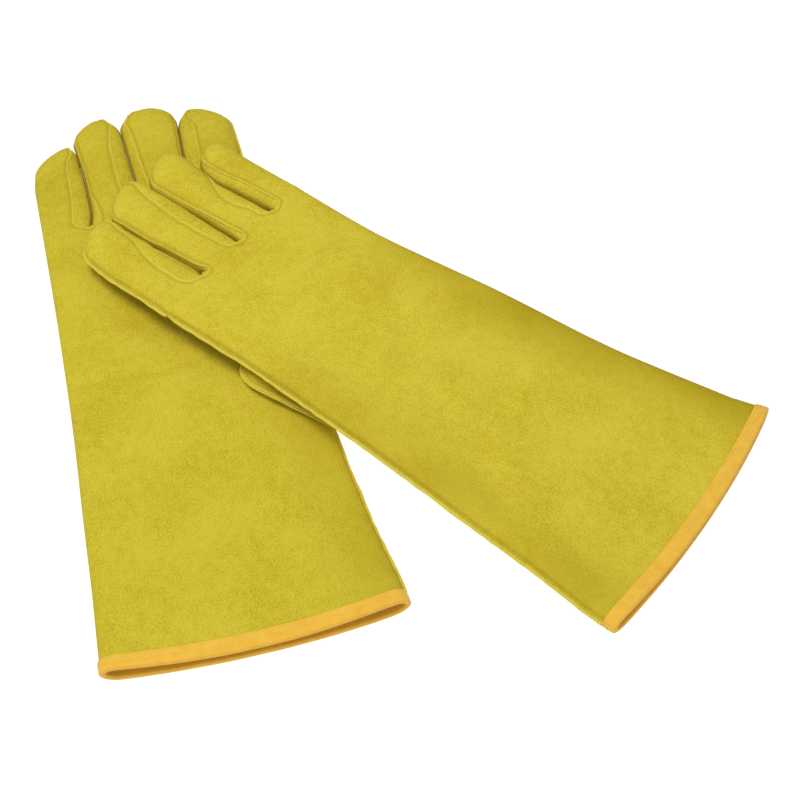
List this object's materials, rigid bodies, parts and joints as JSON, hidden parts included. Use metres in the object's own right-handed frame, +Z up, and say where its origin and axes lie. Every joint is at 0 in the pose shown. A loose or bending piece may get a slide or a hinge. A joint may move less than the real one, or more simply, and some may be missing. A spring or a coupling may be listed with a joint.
{
  "type": "pair of beekeeping gloves",
  "caption": "Long split-leather gauntlet gloves, one crossed over the other, with sewn fingers, a welted side seam, folded thumbs and bound cuffs that turn back.",
  "frame": {"origin": "centre of the bounding box, on the surface the gloves lie on", "axes": "+Y runs along the left glove from its cuff to its fingertips, +X towards its thumb side and the right glove's cuff, +Z up from the surface"},
  "size_m": [0.385, 0.4516, 0.0437],
  "materials": {
    "suede": "napped matte",
    "binding": "woven tape, matte",
    "lining": "knitted, matte"
  },
  "bodies": {
    "left_glove": {"left_hand_back": "suede", "left_hand_lining": "lining", "left_hand_palm": "suede", "left_index_back": "suede", "left_index_lining": "lining", "left_index_palm": "suede", "left_little_back": "suede", "left_little_lining": "lining", "left_little_palm": "suede", "left_little_ring_forchette": "suede", "left_middle_back": "suede", "left_middle_index_forchette": "suede", "left_middle_lining": "lining", "left_middle_palm": "suede", "left_ring_back": "suede", "left_ring_lining": "lining", "left_ring_middle_forchette": "suede", "left_ring_palm": "suede", "left_side_welt": "suede", "left_thumb_ring": "suede"},
    "left_cuff": {"left_cuff_back": "suede", "left_cuff_binding": "binding", "left_cuff_lining": "lining", "left_cuff_palm": "suede", "left_cuff_welt": "suede"},
    "left_thumb": {"left_thumb_back": "suede", "left_thumb_front": "suede", "left_thumb_lining": "lining", "left_thumb_welt": "suede"},
    "right_glove": {"right_hand_back": "suede", "right_hand_lining": "lining", "right_hand_palm": "suede", "right_hand_welt": "suede", "right_thumb_ring": "suede"},
    "right_cuff": {"right_cuff_back": "suede", "right_cuff_binding": "binding", "right_cuff_lining": "lining", "right_cuff_palm": "suede", "right_cuff_welt": "suede"},
    "right_thumb": {"right_thumb_back": "suede", "right_thumb_front": "suede", "right_thumb_lining": "lining", "right_thumb_welt": "suede"},
    "right_little": {"right_little_back": "suede", "right_little_forchette": "suede", "right_little_lining": "lining", "right_little_palm": "suede"},
    "right_ring": {"right_ring_back": "suede", "right_ring_forchette": "suede", "right_ring_lining": "lining", "right_ring_palm": "suede"},
    "right_middle": {"right_middle_back": "suede", "right_middle_forchette": "suede", "right_middle_lining": "lining", "right_middle_palm": "suede"},
    "right_index": {"right_index_back": "suede", "right_index_forchette": "suede", "right_index_lining": "lining", "right_index_palm": "suede", "right_index_welt": "suede"}
  },
  "joints": [
    {"name": "left_cuff_turn", "type": "hinge", "parent": "left_glove", "child": "left_cuff", "pos_m": [-0.11562, -0.09122, 0.012], "axis": [-1, 0, 0], "range_deg": [0, 90]},
    {"name": "right_cuff_turn", "type": "hinge", "parent": "right_glove", "child": "right_cuff", "pos_m": [0.06129, -0.10348, 0.02325], "axis": [-0.7638, -0.6455, 0], "range_deg": [0, 120]},
    {"name": "left_thumb_swing", "type": "hinge", "parent": "left_glove", "child": "left_thumb", "pos_m": [-0.07362, -0.00122, 0.0065], "axis": [0, 0, -1], "range_deg": [0, 60]},
    {"name": "right_thumb_swing", "type": "hinge", "parent": "right_glove", "child": "right_thumb", "pos_m": [-0.02888, -0.06185, 0.02225], "axis": [0.0434, -0.0514, 0.9977], "range_deg": [0, 60]},
    {"name": "right_glove_lift", "type": "slide", "parent": "left_glove", "child": "right_glove", "axis": [0, 0, 1], "range_m": [0, 0.2]},
    {"name": "right_little_lift", "type": "hinge", "parent": "right_glove", "child": "right_little", "pos_m": [-0.0355, 0.08705, 0.0437], "axis": [0.7638, 0.6455, 0], "range_deg": [0, 40]},
    {"name": "right_ring_lift", "type": "hinge", "parent": "right_glove", "child": "right_ring", "pos_m": [-0.05693, 0.06895, 0.0437], "axis": [0.7638, 0.6455, 0], "range_deg": [0, 40]},
    {"name": "right_middle_lift", "type": "hinge", "parent": "right_glove", "child": "right_middle", "pos_m": [-0.0808, 0.04877, 0.0437], "axis": [0.7638, 0.6455, 0], "range_deg": [0, 40]},
    {"name": "right_index_lift", "type": "hinge", "parent": "right_glove", "child": "right_index", "pos_m": [-0.10765, 0.02609, 0.0437], "axis": [0.7638, 0.6455, 0], "range_deg": [0, 40]}
  ]
}
